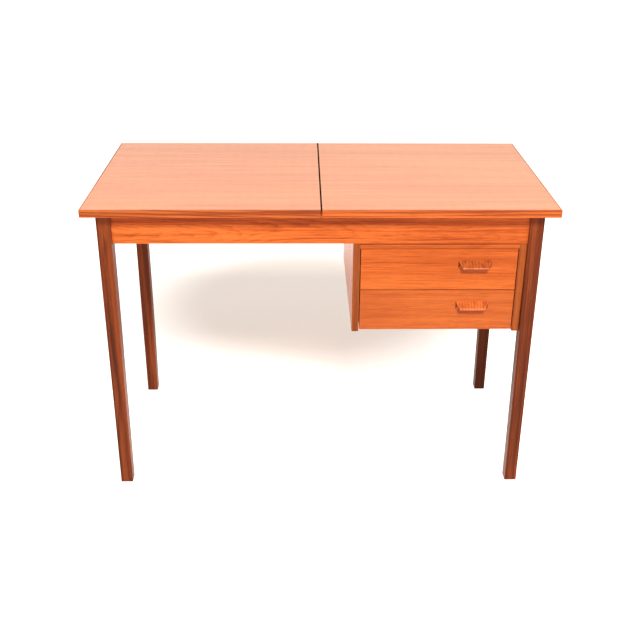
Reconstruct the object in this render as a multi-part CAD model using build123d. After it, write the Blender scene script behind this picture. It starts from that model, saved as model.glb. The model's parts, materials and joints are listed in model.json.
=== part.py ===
from build123d import *
import os

# Sewing table: four tapered legs, a framed top in two leaves and a pedestal of two drawers.
# The left leaf folds over on to the right one and opens a shallow well for the machine.
# Millimetres. +X is the table's right, +Y its back, +Z up. The origin is on the floor, under the
# middle of the top.

# ---- Table as a whole -------------------------------------------------------------------------
TABLE_WIDTH = 1050.0
TABLE_DEPTH = 550.0
TABLE_HEIGHT = 730.0

# ---- Top --------------------------------------------------------------------------------------
LEAF_THICKNESS = 18.0
LIPPING = 3.5                   # solid edge strips round the veneered leaves
LEAF_ARRIS = 1.0                # rounding of the outer corners of the strips
LID_CLEARANCE = 0.3             # air under the folding leaf when it is shut
SIDE_OVERHANG = 28.0            # top beyond the legs
FRONT_OVERHANG = 30.0
BACK_OVERHANG = 28.0

# ---- Legs and glides --------------------------------------------------------------------------
LEG_TOP = 32.0                  # square under the top
LEG_FOOT = 29.0                 # square at the foot, tapered on the two inner faces
LEG_ARRIS = 1.5
GLIDE_HEIGHT = 4.0
GLIDE_RADIUS = 10.0
GLIDE_SLOPE = 2.5               # how much smaller the glide is where it meets the floor
GLIDE_ROUNDING = 1.5
GLIDE_NAIL_RADIUS = 1.4
GLIDE_NAIL_LENGTH = 16.0

# ---- Aprons and cross rail --------------------------------------------------------------------
APRON_HEIGHT = 74.0
APRON_THICKNESS = 18.0
APRON_SETBACK = 8.0             # legs stand proud of the aprons
APRON_ARRIS = 0.8
TENON_THICKNESS = 8.0
TENON_SHOULDER = 10.0           # above and below each tenon
TENON_PARTING = 1.0             # wood left between two tenons that meet in a leg
CROSS_RAIL_THICKNESS = 20.0
CROSS_RAIL_TENON = 8.0

# ---- Machine well -----------------------------------------------------------------------------
WELL_FLOOR_THICKNESS = 6.0
WELL_FLOOR_FIT = 0.5
BATTEN = 12.0                   # square strips that carry the floor
BATTEN_LIFT = 2.0               # strips above the lower edge of the aprons
CORNER_BLOCK = 28.0
CORNER_BLOCK_MARGIN = 4.0       # block below the top of the aprons and above the floor
CLEAT = 20.0                    # square strips that hold the right leaf down

# ---- Pedestal ---------------------------------------------------------------------------------
PEDESTAL_WIDTH = 392.0
PEDESTAL_DROP = 220.0           # sides below the aprons
PEDESTAL_SETBACK = 2.5          # front and back edges of the sides behind the aprons' faces
SIDE_THICKNESS = 16.0
SIDE_LIPPING = 6.0
SIDE_ARRIS = 0.8
FRONT_RAIL_HEIGHT = 13.0
FRONT_RAIL_DEPTH = 50.0
REAR_RAIL = 20.0
BACK_PANEL_THICKNESS = 5.0
BACK_PANEL_REBATE = 8.0
DOWEL_RADIUS = 3.0
DOWEL_LENGTH = 24.0
RUNNER_HEIGHT = 11.4
RUNNER_CLEARANCE = 0.3          # between a runner and its groove, all round
RUNNER_END_GAP = 0.6            # between a runner and the front of its groove
RUNNER_LENGTH = 390.0

# ---- Drawers ----------------------------------------------------------------------------------
FRONT_GAP = 2.0                 # round each drawer front
FRONT_SETBACK = 1.5             # fronts behind the edges of the pedestal sides
BOTTOM_REVEAL = 4.0             # sides of the pedestal below the lower front
FRONT_THICKNESS = 18.0
FRONT_ARRIS = 0.8
BOX_LENGTH = 420.0              # face of the front to the tail of the sides
BOX_SIDE = 12.0
BOX_DROP_TOP = 11.0             # sides below the top edge of the front
BOX_LIFT = 7.0                  # sides above the bottom edge of the front
BOX_BACK = 10.0
BOX_BACK_DROP = 6.0             # back below the top of the sides
BOX_BACK_HOUSING = 3.0
BOX_BACK_FROM_END = 12.0
BOX_BOTTOM = 4.0
BOX_BOTTOM_LIFT = 6.0
BOX_BOTTOM_GROOVE = 5.0
RUNNER_GROOVE = 6.0
LAP_DEPTH = 11.0                # dovetails let into the back of the front
TAIL_COUNT = 3
TAIL_SHARE = 0.56               # width of a tail's root as a share of the spacing
TAIL_FLARE = 1.8                # each tail is this much wider at each side of its end

# ---- Drawer pulls -----------------------------------------------------------------------------
PULL_WIDTH = 76.0               # along its upper edge
PULL_TAPER = 8.5                # each end slopes in by this much at the nose
PULL_BASE = 18.0                # height against the front
PULL_FOOT = 3.0
PULL_REACH = 18.0
PULL_LIP_TOP = 12.6             # the lip, below the upper edge
PULL_LIP_BOTTOM = 17.0
PULL_LIP_SETBACK = 1.4          # where the round of the lip starts and ends, behind its nose
PULL_DISH = 1.1                 # hollow of the upper face
PULL_UNDERCUT = 12.4            # top of the finger hollow, below the upper edge
PULL_ARRIS = 0.9
PULL_FROM_TOP = 27.0
PULL_FROM_END = 96.0            # middle of the pull from the right end of the front
PULL_SCREW_SPACING = 36.0
PULL_SCREW_DROP = 10.0          # screws below the upper edge of the pull
PULL_SCREW_BITE = 8.5           # thread inside the pull

# ---- Hinge between the leaves -----------------------------------------------------------------
KNUCKLE_RADIUS = 1.5
HINGE_PIN_RADIUS = 0.75
PIN_CLEARANCE = 0.05
HINGE_CLEARANCE = 0.3           # between a knuckle and anything of the other leaf
HINGE_AXIS_RISE = 0.2           # axis above the top, so that the folded leaf just clears
HINGE_PLATE = 0.9
HINGE_PLATE_HEIGHT = 13.0
HINGE_END_MARGIN = 1.5
KNUCKLE_COUNT = 44
HINGE_SCREW_COUNT = 9

# ---- Screws and pins (shank radius, head radius, length) --------------------------------------
HINGE_SCREW = (1.0, 1.8, 12.0)
BLOCK_SCREW = (1.9, 3.8, 40.0)
BATTEN_SCREW = (1.5, 3.0, 22.0)
CLEAT_SCREW = (1.7, 3.4, 30.0)
RUNNER_SCREW = (1.4, 2.7, 17.0)
LEG_SCREW = (1.9, 3.8, 30.0)
PULL_SCREW_RADIUS = 1.75
PULL_SCREW_HEAD = (3.6, 2.2)    # radius and height of its round head
SLOT_WIDTH = 0.8
SLOT_DEPTH_SHARE = 0.45         # slot depth as a share of the head's depth
SLOT_OVERRUN = 2.2              # length of the cutter as a share of the head's radius
SCREW_TIP_SHARE = 2.0           # length of a screw's tip as a share of its shank's radius
SCREW_POINT_SHARE = 0.2         # end of the tip as a share of the shank's radius
PULL_SCREW_DOME_SHARE = 0.7     # rounding of a pull screw's head as a share of its height
BLOCK_SCREW_HEIGHTS = (0.3, 0.7)  # as shares of a corner block's height, so that the two screws miss
BLOCK_SCREW_ACROSS = 0.6        # as a share of a corner block's width
HINGE_SCREW_DROP = 0.55         # as a share of the plate's height
CLEAT_SIDE_SCREW_DROP = 0.65    # as a share of a cleat, clear of the screws up into the leaf
CLEAT_TOP_SCREW_ACROSS = 0.6    # as a share of a cleat
LEG_SCREW_LIFT = 12.0           # above the edge of each runner
BATTEN_SCREW_COUNT = 3
CLEAT_SIDE_SCREW_COUNT = 3
CLEAT_TOP_SCREW_COUNT = 4
RUNNER_SCREW_COUNT = 3
BACK_PIN_COUNT = 3              # along each side
FRONT_RAIL_DOWEL_COUNT = 2
PIN_RADIUS = 0.9
PIN_LENGTH = 15.0

# ---- Places worked out from the sizes ---------------------------------------------------------
frame_top = TABLE_HEIGHT - LEAF_THICKNESS
frame_bottom = frame_top - APRON_HEIGHT
leg_x = TABLE_WIDTH / 2 - SIDE_OVERHANG                 # outer faces of the legs
leg_front = -TABLE_DEPTH / 2 + FRONT_OVERHANG
leg_back = TABLE_DEPTH / 2 - BACK_OVERHANG
apron_front = leg_front + APRON_SETBACK                 # outer faces of the aprons
apron_back = leg_back - APRON_SETBACK
apron_x = leg_x - APRON_SETBACK
inner_front = apron_front + APRON_THICKNESS             # inner faces of the aprons
inner_back = apron_back - APRON_THICKNESS
inner_x = apron_x - APRON_THICKNESS
rail_half = CROSS_RAIL_THICKNESS / 2
tenon_length = LEG_TOP - APRON_SETBACK - (APRON_THICKNESS + TENON_THICKNESS) / 2 - TENON_PARTING

split_half = KNUCKLE_RADIUS + HINGE_CLEARANCE           # half the gap between the leaves
hinge_z = TABLE_HEIGHT + HINGE_AXIS_RISE

batten_z = (frame_bottom + BATTEN_LIFT, frame_bottom + BATTEN_LIFT + BATTEN)
well_floor_z = (batten_z[1], batten_z[1] + WELL_FLOOR_THICKNESS)

pedestal_right = leg_x - LEG_TOP
pedestal_left = pedestal_right - PEDESTAL_WIDTH
bay_x = (pedestal_left + SIDE_THICKNESS, pedestal_right - SIDE_THICKNESS)
pedestal_front = apron_front + PEDESTAL_SETBACK
pedestal_back = apron_back - PEDESTAL_SETBACK
pedestal_bottom = frame_bottom - PEDESTAL_DROP
front_rail_bottom = frame_bottom - FRONT_RAIL_HEIGHT
back_panel_front = pedestal_back - BACK_PANEL_THICKNESS

front_x = (bay_x[0] + FRONT_GAP, bay_x[1] - FRONT_GAP)
front_y = (pedestal_front + FRONT_SETBACK, pedestal_front + FRONT_SETBACK + FRONT_THICKNESS)
box_end = front_y[0] + BOX_LENGTH
fronts_top = front_rail_bottom - FRONT_GAP
fronts_bottom = pedestal_bottom + BOTTOM_REVEAL
front_height = (fronts_top - fronts_bottom - FRONT_GAP) / 2
box_height = front_height - BOX_DROP_TOP - BOX_LIFT
drawer_bottoms = {
    "upper": fronts_top - front_height,
    "lower": fronts_bottom,
}

LEFT, RIGHT = -1, 1
FRONT, BACK = -1, 1


# ---- Shared shapes ----------------------------------------------------------------------------
def block(x, y, z):
    """Plain board between a low and a high limit along each axis."""
    corner = (min(x), min(y), min(z))
    sizes = (max(x) - min(x), max(y) - min(y), max(z) - min(z))
    return Pos(*corner) * Box(*sizes, align=(Align.MIN, Align.MIN, Align.MIN))


def spread(low, high, count):
    """Evenly spaced places with half a space left at each end."""
    step = (high - low) / count
    return [low + step * (index + 0.5) for index in range(count)]


def screw_bore(point, outward, size):
    """Room that a countersunk screw takes up, with its head flush at the point."""
    shank, head, length = size
    cone = head - shank
    tip = shank * SCREW_TIP_SHARE
    body = Pos(0, 0, -cone) * Cone(shank, head, cone, align=(Align.CENTER, Align.CENTER, Align.MIN))
    straight = length - cone - tip
    body += Pos(0, 0, -cone - straight) * Cylinder(
        shank, straight, align=(Align.CENTER, Align.CENTER, Align.MIN)
    )
    body += Pos(0, 0, -length) * Cone(
        shank * SCREW_POINT_SHARE, shank, tip, align=(Align.CENTER, Align.CENTER, Align.MIN)
    )
    return Plane(origin=point, z_dir=outward) * body


def screw(point, outward, size):
    """Countersunk wood screw with a slotted head."""
    shank, head, length = size
    depth = (head - shank) * SLOT_DEPTH_SHARE
    slot = Box(head * SLOT_OVERRUN, SLOT_WIDTH, depth, align=(Align.CENTER, Align.CENTER, Align.MAX))
    return screw_bore(point, outward, size) - Plane(origin=point, z_dir=outward) * slot


def screws(places, size):
    return [screw(point, outward, size) for point, outward in places]


def bored(part, places, size):
    """The part with a hole for each screw that goes through or into it."""
    for point, outward in places:
        part -= screw_bore(point, outward, size)
    return part


def save(node, *solids):
    """Write one node; pieces that are alike are written together as separate solids."""
    os.makedirs("parts", exist_ok=True)
    shape = solids[0] if len(solids) == 1 else Compound(children=list(solids))
    export_step(shape, os.path.join("parts", node + ".step"))


# ---- Legs -------------------------------------------------------------------------------------
def leg_section(width, z):
    return Pos(-width / 2, -width / 2, z) * RectangleRounded(width, width, LEG_ARRIS)


def leg_blank():
    """Back right leg with its outer corner on the Z axis, before the mortises."""
    head = extrude(leg_section(LEG_TOP, frame_bottom), APRON_HEIGHT)
    shaft = loft([leg_section(LEG_FOOT, GLIDE_HEIGHT), leg_section(LEG_TOP, frame_bottom)])
    return head + shaft


def leg(side, end):
    blank = leg_blank()
    if side == LEFT:
        blank = mirror(blank, about=Plane.YZ)
    if end == FRONT:
        blank = mirror(blank, about=Plane.XZ)
    placed = Pos(side * leg_x, leg_front if end == FRONT else leg_back, 0) * blank
    placed -= long_tenon(side, end)
    placed -= short_tenon(side, end)
    placed -= glide(side, end)
    if side == RIGHT:
        placed = bored(placed, leg_screw_places(), LEG_SCREW)
    return placed


def glide(side, end):
    """Nail-on glide under a leg: a low round button with its nail driven into the leg."""
    centre_x = side * (leg_x - LEG_FOOT / 2)
    centre_y = leg_front + LEG_FOOT / 2 if end == FRONT else leg_back - LEG_FOOT / 2
    button = Cone(
        GLIDE_RADIUS - GLIDE_SLOPE, GLIDE_RADIUS, GLIDE_HEIGHT,
        align=(Align.CENTER, Align.CENTER, Align.MIN),
    )
    button = fillet(button.edges().sort_by(Axis.Z)[0], GLIDE_ROUNDING)
    nail = Pos(0, 0, GLIDE_HEIGHT) * Cylinder(
        GLIDE_NAIL_RADIUS, GLIDE_NAIL_LENGTH, align=(Align.CENTER, Align.CENTER, Align.MIN)
    )
    return Pos(centre_x, centre_y, 0) * (button + nail)


# ---- Aprons and cross rail --------------------------------------------------------------------
tenon_z = (frame_bottom + TENON_SHOULDER, frame_top - TENON_SHOULDER)


def apron_middle(end):
    return (apron_front + inner_front) / 2 if end == FRONT else (apron_back + inner_back) / 2


def long_tenon(side, end):
    """End of the front or back apron inside a leg."""
    shoulder = side * (leg_x - LEG_TOP)
    middle = apron_middle(end)
    return block(
        (shoulder, shoulder + side * tenon_length),
        (middle - TENON_THICKNESS / 2, middle + TENON_THICKNESS / 2),
        tenon_z,
    )


def short_tenon(side, end):
    """End of a side apron inside a leg."""
    shoulder = leg_front + LEG_TOP if end == FRONT else leg_back - LEG_TOP
    middle = side * (apron_x + inner_x) / 2
    return block(
        (middle - TENON_THICKNESS / 2, middle + TENON_THICKNESS / 2),
        (shoulder, shoulder + end * tenon_length),
        tenon_z,
    )


def cross_rail_tenon(end):
    inner = inner_front if end == FRONT else inner_back
    return block(
        (-TENON_THICKNESS / 2, TENON_THICKNESS / 2), (inner, inner + end * CROSS_RAIL_TENON), tenon_z
    )


def long_apron(end):
    """Front or back apron with a tenon at each end and a mortise for the cross rail."""
    outer, inner = (apron_front, inner_front) if end == FRONT else (apron_back, inner_back)
    reach = leg_x - LEG_TOP
    board = block((-reach, reach), (outer, inner), (frame_bottom, frame_top))
    lower_arris = board.edges().filter_by(Axis.X).group_by(Axis.Z)[0]
    board = fillet(lower_arris, APRON_ARRIS)
    board += long_tenon(LEFT, end) + long_tenon(RIGHT, end)
    board -= cross_rail_tenon(end)
    board = bored(board, corner_screw_places(end)[:1], BLOCK_SCREW)
    return bored(board, batten_screw_places()["front" if end == FRONT else "back"], BATTEN_SCREW)


def side_apron(side):
    shoulders = (leg_front + LEG_TOP, leg_back - LEG_TOP)
    board = block((side * inner_x, side * apron_x), shoulders, (frame_bottom, frame_top))
    lower_arris = board.edges().filter_by(Axis.Y).group_by(Axis.Z)[0]
    board = fillet(lower_arris, APRON_ARRIS)
    board += short_tenon(side, FRONT) + short_tenon(side, BACK)
    if side == LEFT:
        board = bored(board, corner_screw_places(FRONT)[1:], BLOCK_SCREW)
        board = bored(board, corner_screw_places(BACK)[1:], BLOCK_SCREW)
        board = bored(board, batten_screw_places()["left"], BATTEN_SCREW)
    return board


def cross_rail():
    """Rail under the joint of the two leaves, between the front and back aprons."""
    board = block((-rail_half, rail_half), (inner_front, inner_back), (frame_bottom, frame_top))
    board += cross_rail_tenon(FRONT) + cross_rail_tenon(BACK)
    board = bored(board, batten_screw_places()["right"], BATTEN_SCREW)
    return bored(board, cleat_side_places("rail"), CLEAT_SCREW)


# ---- Machine well -----------------------------------------------------------------------------
block_z = (well_floor_z[1] + CORNER_BLOCK_MARGIN, frame_top - CORNER_BLOCK_MARGIN)


def corner_screw_places(end):
    """One screw into the long apron and one into the left apron, at different heights."""
    inner_y = inner_front if end == FRONT else inner_back
    across = CORNER_BLOCK * BLOCK_SCREW_ACROSS
    low, high = [block_z[0] + (block_z[1] - block_z[0]) * share for share in BLOCK_SCREW_HEIGHTS]
    return [
        ((-inner_x + across, inner_y - end * CORNER_BLOCK, low), (0, -end, 0)),
        ((-inner_x + CORNER_BLOCK, inner_y - end * across, high), (1, 0, 0)),
    ]


def corner_block(end):
    """Square block glued and screwed in a left corner, cut round the leg."""
    inner_y = inner_front if end == FRONT else inner_back
    leg_inner = leg_front + LEG_TOP if end == FRONT else leg_back - LEG_TOP
    body = block((-inner_x, -inner_x + CORNER_BLOCK), (inner_y, inner_y - end * CORNER_BLOCK), block_z)
    body -= block((-leg_x, -leg_x + LEG_TOP), (inner_y, leg_inner), block_z)
    return bored(body, corner_screw_places(end), BLOCK_SCREW)


def battens():
    """Strips that carry the floor of the well: front, back, left and along the cross rail."""
    places = batten_screw_places()
    long_x = (-leg_x + LEG_TOP, -rail_half)
    short_y = (inner_front + BATTEN, inner_back - BATTEN)
    front = block(long_x, (inner_front, inner_front + BATTEN), batten_z)
    back = block(long_x, (inner_back, inner_back - BATTEN), batten_z)
    left = block((-inner_x, -inner_x + BATTEN), short_y, batten_z)
    left -= block((-inner_x, -leg_x + LEG_TOP), (leg_front, leg_front + LEG_TOP), batten_z)
    left -= block((-inner_x, -leg_x + LEG_TOP), (leg_back, leg_back - LEG_TOP), batten_z)
    right = block((-rail_half - BATTEN, -rail_half), short_y, batten_z)
    return [
        bored(front, places["front"], BATTEN_SCREW),
        bored(back, places["back"], BATTEN_SCREW),
        bored(left, places["left"], BATTEN_SCREW),
        bored(right, places["right"], BATTEN_SCREW),
    ]


def batten_screw_places():
    """Screws through each strip into the board behind it."""
    middle = (batten_z[0] + batten_z[1]) / 2
    along_x = spread(-leg_x + LEG_TOP, -rail_half, BATTEN_SCREW_COUNT)
    along_y = spread(inner_front + BATTEN, inner_back - BATTEN, BATTEN_SCREW_COUNT)
    return {
        "front": [((x, inner_front + BATTEN, middle), (0, 1, 0)) for x in along_x],
        "back": [((x, inner_back - BATTEN, middle), (0, -1, 0)) for x in along_x],
        "left": [((-inner_x + BATTEN, y, middle), (1, 0, 0)) for y in along_y],
        "right": [((-rail_half - BATTEN, y, middle), (-1, 0, 0)) for y in along_y],
    }


def well_floor():
    """Plywood floor lying on the strips, notched round the two left legs."""
    panel = block(
        (-inner_x + WELL_FLOOR_FIT, -rail_half - WELL_FLOOR_FIT),
        (inner_front + WELL_FLOOR_FIT, inner_back - WELL_FLOOR_FIT),
        well_floor_z,
    )
    notch_x = (-leg_x, -leg_x + LEG_TOP + WELL_FLOOR_FIT)
    panel -= block(notch_x, (leg_front, leg_front + LEG_TOP + WELL_FLOOR_FIT), well_floor_z)
    panel -= block(notch_x, (leg_back, leg_back - LEG_TOP - WELL_FLOOR_FIT), well_floor_z)
    return panel


# ---- Leaves -----------------------------------------------------------------------------------
def leaf_z(side):
    """The folding leaf is thinner by the air under it, so that both tops are level."""
    return (frame_top + (LID_CLEARANCE if side == LEFT else 0), TABLE_HEIGHT)


def leaf_panel(side):
    """Veneered board of one leaf."""
    half_depth = TABLE_DEPTH / 2 - LIPPING
    panel = block(
        (side * split_half, side * (TABLE_WIDTH / 2 - LIPPING)), (-half_depth, half_depth), leaf_z(side)
    )
    panel = bored(panel, hinge_screw_places(side), HINGE_SCREW)
    if side == RIGHT:
        panel = bored(panel, cleat_top_places(), CLEAT_SCREW)
    return panel


def leaf_long_lipping(side, end):
    """Solid strip along the front or back edge, stopping at the end strip."""
    outer = end * TABLE_DEPTH / 2
    strip = block(
        (side * split_half, side * (TABLE_WIDTH / 2 - LIPPING)), (outer, outer - end * LIPPING), leaf_z(side)
    )
    outside = strip.edges().filter_by(Axis.X).group_by(Axis.Y)[0 if end == FRONT else -1]
    return fillet(outside, LEAF_ARRIS)


def leaf_end_lipping(side):
    """Solid strip along the outer end, running the whole depth of the top."""
    outer = side * TABLE_WIDTH / 2
    strip = block((outer, outer - side * LIPPING), (-TABLE_DEPTH / 2, TABLE_DEPTH / 2), leaf_z(side))
    outside = strip.edges().filter_by(Axis.Y).group_by(Axis.X)[0 if side == LEFT else -1]
    corners = strip.edges().filter_by(Axis.Z).group_by(Axis.X)[0 if side == LEFT else -1]
    return fillet(outside + corners, LEAF_ARRIS)


# ---- Hinge ------------------------------------------------------------------------------------
hinge_y = (-TABLE_DEPTH / 2 + HINGE_END_MARGIN, TABLE_DEPTH / 2 - HINGE_END_MARGIN)
knuckle_pitch = (hinge_y[1] - hinge_y[0]) / KNUCKLE_COUNT


def hinge_screw_places(side):
    """Screws from the gap into the edge of one leaf."""
    face = side * (split_half - HINGE_PLATE)
    z = hinge_z - HINGE_PLATE_HEIGHT * HINGE_SCREW_DROP
    return [((face, y, z), (-side, 0, 0)) for y in spread(*hinge_y, HINGE_SCREW_COUNT)]


def hinge_plate(side):
    """Plate of a continuous hinge with every second knuckle; the other leaf has the rest."""
    outer = side * split_half
    inner = side * (split_half - HINGE_PLATE)
    foot = hinge_z - HINGE_PLATE_HEIGHT
    notch_top = hinge_z - KNUCKLE_RADIUS - HINGE_CLEARANCE
    plate = block((outer, inner), hinge_y, (foot, notch_top))
    plate = bored(plate, hinge_screw_places(side), HINGE_SCREW)
    first = 0 if side == RIGHT else 1
    for index in range(first, KNUCKLE_COUNT, 2):
        start = hinge_y[0] + index * knuckle_pitch + HINGE_CLEARANCE / 2
        length = knuckle_pitch - HINGE_CLEARANCE
        web = block((outer, inner), (start, start + length), (notch_top, hinge_z))
        barrel = Plane(origin=(0, start, hinge_z), z_dir=(0, 1, 0)) * Cylinder(
            KNUCKLE_RADIUS, length, align=(Align.CENTER, Align.CENTER, Align.MIN)
        )
        plate += web + barrel
    bore = Plane(origin=(0, hinge_y[0], hinge_z), z_dir=(0, 1, 0)) * Cylinder(
        HINGE_PIN_RADIUS + PIN_CLEARANCE, hinge_y[1] - hinge_y[0],
        align=(Align.CENTER, Align.CENTER, Align.MIN),
    )
    return plate - bore


def hinge_pin():
    return Plane(origin=(0, hinge_y[0], hinge_z), z_dir=(0, 1, 0)) * Cylinder(
        HINGE_PIN_RADIUS, hinge_y[1] - hinge_y[0], align=(Align.CENTER, Align.CENTER, Align.MIN)
    )


# ---- Cleats that hold the right leaf ----------------------------------------------------------
cleat_faces = {
    "rail": (rail_half, RIGHT),
    "left": (bay_x[0], RIGHT),
    "right": (bay_x[1], LEFT),
}
cleat_y = (inner_front + CLEAT, inner_back - CLEAT)
cleat_z = (frame_top - CLEAT, frame_top)


def cleat_side_places(name):
    """Screws from a cleat into the upright board that it lies against."""
    face, away = cleat_faces[name]
    z = frame_top - CLEAT * CLEAT_SIDE_SCREW_DROP
    along = spread(*cleat_y, CLEAT_SIDE_SCREW_COUNT)
    return [((face + away * CLEAT, y, z), (away, 0, 0)) for y in along]


def cleat_top_places():
    """Screws from below through the cleats into the right leaf."""
    return [
        ((face + away * CLEAT * CLEAT_TOP_SCREW_ACROSS, y, cleat_z[0]), (0, 0, -1))
        for face, away in cleat_faces.values()
        for y in spread(*cleat_y, CLEAT_TOP_SCREW_COUNT)
    ]


def cleat(name):
    face, away = cleat_faces[name]
    strip = block((face, face + away * CLEAT), cleat_y, cleat_z)
    strip = bored(strip, cleat_side_places(name), CLEAT_SCREW)
    own = [place for place in cleat_top_places() if abs(place[0][0] - face) < CLEAT]
    return bored(strip, own, CLEAT_SCREW)


# ---- Pedestal ---------------------------------------------------------------------------------
def side_x(side):
    """Inner and outer face of one side of the pedestal."""
    return (bay_x[0], pedestal_left) if side == LEFT else (bay_x[1], pedestal_right)


def pedestal_side(side):
    """Upright board, cut away round the aprons so that it reaches the right leaf."""
    inner, outer = side_x(side)
    lower = block(
        (inner, outer), (pedestal_front + SIDE_LIPPING, pedestal_back), (pedestal_bottom, frame_bottom)
    )
    upper = block((inner, outer), (inner_front, inner_back), (frame_bottom, frame_top))
    board = lower + upper - back_panel() - rear_rail_dowels(side) - front_rail_dowels(side)
    board = bored(board, cleat_side_places("left" if side == LEFT else "right"), CLEAT_SCREW)
    for name in drawer_bottoms:
        board = bored(board, runner_screw_places(side, name), RUNNER_SCREW)
    for place in back_pin_places(side):
        board -= back_pin(place)
    if side == RIGHT:
        board = bored(board, leg_screw_places(), LEG_SCREW)
    return board


def pedestal_lipping(side):
    """Solid strip on the front edge of a pedestal side, below the apron."""
    strip = block(
        side_x(side), (pedestal_front, pedestal_front + SIDE_LIPPING), (pedestal_bottom, frame_bottom)
    )
    front_edges = strip.edges().filter_by(Axis.Z).group_by(Axis.Y)[0]
    return fillet(front_edges, SIDE_ARRIS)


def leg_screw_places():
    """Screws from inside the pedestal through its right side into the right legs, over the runners."""
    front = (pedestal_front + SIDE_LIPPING + leg_front + LEG_TOP) / 2
    back = (pedestal_back - BACK_PANEL_THICKNESS + leg_back - LEG_TOP) / 2
    heights = [runner_middle(name) + RUNNER_HEIGHT / 2 + LEG_SCREW_LIFT for name in drawer_bottoms]
    return [((bay_x[1], y, z), (-1, 0, 0)) for y in (front, back) for z in heights]


def back_panel():
    """Plywood back in rebates of the sides."""
    return block(
        (bay_x[0] - BACK_PANEL_REBATE, bay_x[1] + BACK_PANEL_REBATE),
        (back_panel_front, pedestal_back),
        (pedestal_bottom + BOTTOM_REVEAL, frame_bottom),
    )


def back_pin_places(side):
    x = bay_x[0] - BACK_PANEL_REBATE / 2 if side == LEFT else bay_x[1] + BACK_PANEL_REBATE / 2
    heights = spread(pedestal_bottom + BOTTOM_REVEAL, frame_bottom, BACK_PIN_COUNT)
    return [(x, pedestal_back, z) for z in heights]


def back_pin(point):
    return Plane(origin=point, z_dir=(0, -1, 0)) * Cylinder(
        PIN_RADIUS, PIN_LENGTH, align=(Align.CENTER, Align.CENTER, Align.MIN)
    )


def dowel(side, y, z):
    """Dowel half in a rail and half in a side of the pedestal."""
    return Plane(origin=(side_x(side)[0], y, z), z_dir=(1, 0, 0)) * Cylinder(DOWEL_RADIUS, DOWEL_LENGTH)


def front_rail_dowels(side):
    rail_y = (pedestal_front + SIDE_LIPPING, pedestal_front + FRONT_RAIL_DEPTH)
    z = (front_rail_bottom + frame_bottom) / 2
    return Compound(children=[dowel(side, y, z) for y in spread(*rail_y, FRONT_RAIL_DOWEL_COUNT)])


def rear_rail_dowels(side):
    z = pedestal_bottom + BOTTOM_REVEAL + REAR_RAIL / 2
    return dowel(side, back_panel_front - REAR_RAIL / 2, z)


def front_rail():
    """Rail under the apron, over the upper drawer."""
    rail_y = (pedestal_front, pedestal_front + FRONT_RAIL_DEPTH)
    rail = block(bay_x, rail_y, (front_rail_bottom, frame_bottom))
    return rail - front_rail_dowels(LEFT) - front_rail_dowels(RIGHT)


def rear_rail():
    """Rail at the foot of the back panel that ties the sides."""
    foot = pedestal_bottom + BOTTOM_REVEAL
    rail = block(bay_x, (back_panel_front - REAR_RAIL, back_panel_front), (foot, foot + REAR_RAIL))
    return rail - rear_rail_dowels(LEFT) - rear_rail_dowels(RIGHT)


def box_z(name):
    low = drawer_bottoms[name] + BOX_LIFT
    return (low, low + box_height)


def runner_middle(name):
    return sum(box_z(name)) / 2


runner_y = (front_y[1] + RUNNER_END_GAP, front_y[1] + RUNNER_END_GAP + RUNNER_LENGTH)
runner_reach = FRONT_GAP + RUNNER_GROOVE - RUNNER_CLEARANCE


def runner_screw_places(side, name):
    face = side_x(side)[0] - side * runner_reach
    along = spread(*runner_y, RUNNER_SCREW_COUNT)
    return [((face, y, runner_middle(name)), (-side, 0, 0)) for y in along]


def runner(side, name):
    """Hardwood strip on a pedestal side that runs in the groove of a drawer side."""
    face = side_x(side)[0]
    middle = runner_middle(name)
    strip = block(
        (face, face - side * runner_reach),
        runner_y,
        (middle - RUNNER_HEIGHT / 2, middle + RUNNER_HEIGHT / 2),
    )
    return bored(strip, runner_screw_places(side, name), RUNNER_SCREW)


# ---- Drawers ----------------------------------------------------------------------------------
def tail(side, middle):
    """One dovetail of a drawer side, let into the back of the front from its end."""
    pitch = box_height / TAIL_COUNT
    root = pitch * TAIL_SHARE / 2
    outline = Polygon(
        (front_y[1], middle - root),
        (front_y[1], middle + root),
        (front_y[1] - LAP_DEPTH, middle + root + TAIL_FLARE),
        (front_y[1] - LAP_DEPTH, middle - root - TAIL_FLARE),
        align=None,
    )
    outer = front_x[0] if side == LEFT else front_x[1]
    return Pos(outer, 0, 0) * extrude(Plane.YZ * outline, -side * BOX_SIDE)


def tails(side, name):
    return Compound(children=[tail(side, middle) for middle in spread(*box_z(name), TAIL_COUNT)])


def box_inner_x():
    return (front_x[0] + BOX_SIDE, front_x[1] - BOX_SIDE)


def drawer_bottom(name):
    """Plywood bottom in grooves of the front and the sides."""
    inner = box_inner_x()
    foot = box_z(name)[0] + BOX_BOTTOM_LIFT
    return block(
        (inner[0] - BOX_BOTTOM_GROOVE, inner[1] + BOX_BOTTOM_GROOVE),
        (front_y[1] - BOX_BOTTOM_GROOVE, box_end),
        (foot, foot + BOX_BOTTOM),
    )


def drawer_back(name):
    """Back standing on the bottom and housed in the sides."""
    inner = box_inner_x()
    foot = box_z(name)[0] + BOX_BOTTOM_LIFT + BOX_BOTTOM
    rear = box_end - BOX_BACK_FROM_END
    return block(
        (inner[0] - BOX_BACK_HOUSING, inner[1] + BOX_BACK_HOUSING),
        (rear - BOX_BACK, rear),
        (foot, box_z(name)[1] - BOX_BACK_DROP),
    )


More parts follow.
